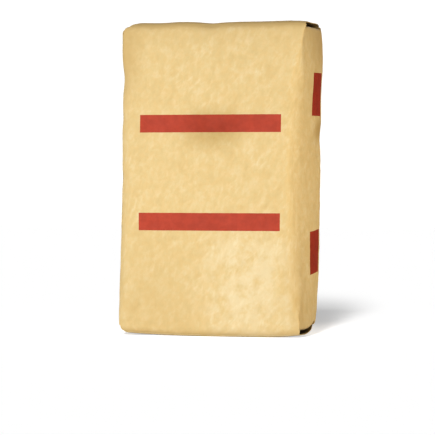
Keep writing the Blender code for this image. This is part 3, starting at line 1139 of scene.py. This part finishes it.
# The floor is white where the camera sees it, and throws less light back up at the sack.
# Close to the sack it is paler, from the light that the sack itself throws down on it.
FLOOR_HALF = 20.0
FLOOR_SEEN = (0.86, 0.86, 0.86, 1.0)
FLOOR_BOUNCE = (0.37, 0.37, 0.37, 1.0)
FLOOR_GLOW = 0.335
NEAR_GLOW = ((0.05, 0.05, 0.0), (0.75, 0.75, 0.50))
NEAR_GLOW_STRENGTH = 0.26

# The room is dim, more so overhead, and white where the camera sees it.
ROOM_LOW = 0.35
ROOM_HIGH = 0.14
ROOM_SEEN = 1.1

# Low suns, one over the other, give the floor shadow crisp flanks and a soft far end.
# Each sun: height over the floor and turn to the right of the sack's front, in degrees.
SUNS = ((14.0, 14.0), (15.8, 12.9), (17.8, 12.0), (20.5, 11.3), (24.5, 10.8))
SUN_SPREAD = 4.0
SUN_STRENGTH = 5.90
SUN_DISTANCE = 4.0

# Each soft box: width and height, watts, colour, place.
WHITE_LIGHT = (1.0, 1.0, 1.0)
WARM_LIGHT = (1.0, 0.86, 0.64)
SOFT_BOXES = {
    "front_box": ((1.1, 0.6), 52.3, WHITE_LIGHT, (-0.36, -2.38, 0.34)),
    "left_box": ((0.8, 0.8), 12.0, WHITE_LIGHT, (-2.40, -0.60, 0.40)),
    "side_box": ((0.5, 0.5), 5.4, WARM_LIGHT, (1.05, -0.15, 0.30)),
    "back_box": ((1.4, 1.0), 36.0, WHITE_LIGHT, (-0.90, 2.50, 0.60)),
    "top_box": ((1.2, 0.8), 42.0, WHITE_LIGHT, (-0.20, 2.00, 1.90)),
}

# The camera: degrees, metres and millimetres of lens.
CAMERA_AZIMUTH = 17.65
CAMERA_DISTANCE = 6.217
CAMERA_HEIGHT = 0.2943
CAMERA_LENS = 246.9
CAMERA_SENSOR = 36.0
CAMERA_REACH = 100.0
CAMERA_ROLL = 0.16
CAMERA_PITCH = 0.449
AIM_ACROSS = -0.0038


def build_floor():
    mesh = bpy.data.meshes.new("floor")
    corners = [(x * FLOOR_HALF, y * FLOOR_HALF, 0) for x, y in ((-1, -1), (1, -1), (1, 1), (-1, 1))]
    mesh.from_pydata(corners, [], [(0, 1, 2, 3)])
    floor = bpy.data.objects.new("floor", mesh)
    bpy.context.scene.collection.objects.link(floor)
    material, graph, shader = new_material("floor_white")
    seen = graph.add("ShaderNodeLightPath").outputs["Is Camera Ray"]
    graph.put(shader.inputs["Base Color"], graph.mix(seen, FLOOR_BOUNCE, FLOOR_SEEN))
    shader.inputs["Roughness"].default_value = 0.95
    shader.inputs["Specular IOR Level"].default_value = 0.0
    shader.inputs["Emission Strength"].default_value = 1.0
    place = graph.add("ShaderNodeNewGeometry").outputs["Position"]
    near = graph.spot(place, *NEAR_GLOW)
    glow = graph.total(FLOOR_GLOW, graph.times(near, NEAR_GLOW_STRENGTH))
    graph.put(shader.inputs["Emission Color"], graph.times(seen, glow))
    mesh.materials.append(material)
    return floor


def aimed(obj, location, target):
    obj.location = location
    obj.rotation_euler = (Vector(target) - Vector(location)).to_track_quat("-Z", "Y").to_euler()
    bpy.context.scene.collection.objects.link(obj)


def lit_only(name, objects):
    """A collection of the objects that a lamp lights."""
    lit = bpy.data.collections.new(name)
    for obj in objects:
        lit.objects.link(obj)
    return lit


def build_light(floor, pieces):
    """A dim white room, soft boxes for the sack, and low suns that light the floor alone."""
    world = bpy.data.worlds.new("studio")
    bpy.context.scene.world = world
    world.use_nodes = True
    graph = Graph(world.node_tree)
    background = world.node_tree.nodes["Background"]
    direction = graph.add("ShaderNodeTexCoord").outputs["Generated"]
    strength = graph.ramp(graph.parts(direction)["Z"], 0.0, 0.8, ROOM_LOW, ROOM_HIGH)
    seen = graph.times(graph.add("ShaderNodeLightPath").outputs["Is Camera Ray"], ROOM_SEEN)
    background.inputs["Color"].default_value = (1, 1, 1, 1)
    graph.put(background.inputs["Strength"], graph.larger(strength, seen))

    on_sack = lit_only("sack_only", pieces)
    for name, (size, watts, colour, location) in SOFT_BOXES.items():
        box = bpy.data.lights.new(name, "AREA")
        box.shape = "RECTANGLE"
        box.size = size[0]
        box.size_y = size[1]
        box.energy = watts
        box.color = colour
        lamp = bpy.data.objects.new(name, box)
        aimed(lamp, location, (0, 0, MIDDLE))
        lamp.visible_camera = False
        lamp.light_linking.receiver_collection = on_sack

    on_floor = lit_only("floor_only", [floor])
    for number, angles in enumerate(SUNS, start=1):
        height, turn = [math.radians(angle) for angle in angles]
        sun = bpy.data.lights.new("floor_sun_%d" % number, "SUN")
        sun.angle = math.radians(SUN_SPREAD)
        sun.energy = SUN_STRENGTH / len(SUNS)
        lamp = bpy.data.objects.new(sun.name, sun)
        towards = Vector((math.sin(turn), -math.cos(turn), math.tan(height)))
        aimed(lamp, towards * SUN_DISTANCE, (0, 0, 0))
        lamp.light_linking.receiver_collection = on_floor


def build_camera():
    data = bpy.data.cameras.new("camera")
    data.lens = CAMERA_LENS
    data.sensor_width = CAMERA_SENSOR
    data.clip_end = CAMERA_REACH
    camera = bpy.data.objects.new("camera", data)
    angle = math.radians(CAMERA_AZIMUTH)
    right = Vector((math.cos(angle), math.sin(angle), 0.0))
    back = Vector((math.sin(angle), -math.cos(angle), 0.0))
    aim_height = CAMERA_HEIGHT - CAMERA_DISTANCE * math.tan(math.radians(CAMERA_PITCH))
    camera.location = back * CAMERA_DISTANCE + Vector((0, 0, CAMERA_HEIGHT))
    aim = right * AIM_ACROSS + Vector((0, 0, aim_height))
    looking = (aim - camera.location).to_track_quat("-Z", "Y").to_matrix().to_4x4()
    roll = Matrix.Rotation(math.radians(CAMERA_ROLL), 4, "Z")
    camera.rotation_euler = (looking @ roll).to_euler()
    bpy.context.scene.collection.objects.link(camera)
    bpy.context.scene.camera = camera


def build_sack():
    """Makes every piece of the sack, and puts each in the place of its node."""
    cover_kraft = cover_material()
    top_cover = cover_sheet("top_cover", COVER_LOW, COVER_HIGH, True)
    foot_cover = cover_sheet("foot_cover", FOOT_LOW, FOOT_HIGH, False)
    made = (
        (paper_skin(), "paper_sack", "kraft_paper", kraft_material()),
        (cement_body(), "cement_fill", "cement_powder", cement_material()),
        (top_cover, "top_cover_sheet", "cover_kraft", cover_kraft),
        (foot_cover, "bottom_cover_sheet", "cover_kraft", cover_kraft),
        (valve_tube(), "valve_sleeve", "sleeve_kraft", sleeve_material()),
    )
    for piece, node, slot, material in made:
        piece.data.materials.append(material)
        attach(piece, "root")
        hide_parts(node)
    return [piece for piece, *_ in made]


bpy.context.scene.view_settings.view_transform = "Standard"
paper_grain_group()
fine_crinkle_group()
pale_fleck_group()
soft_spot_group()
edge_soil_and_shade_group()
powder_group()
printed_bar_group()
pieces = build_sack()
build_light(build_floor(), pieces)
build_camera()
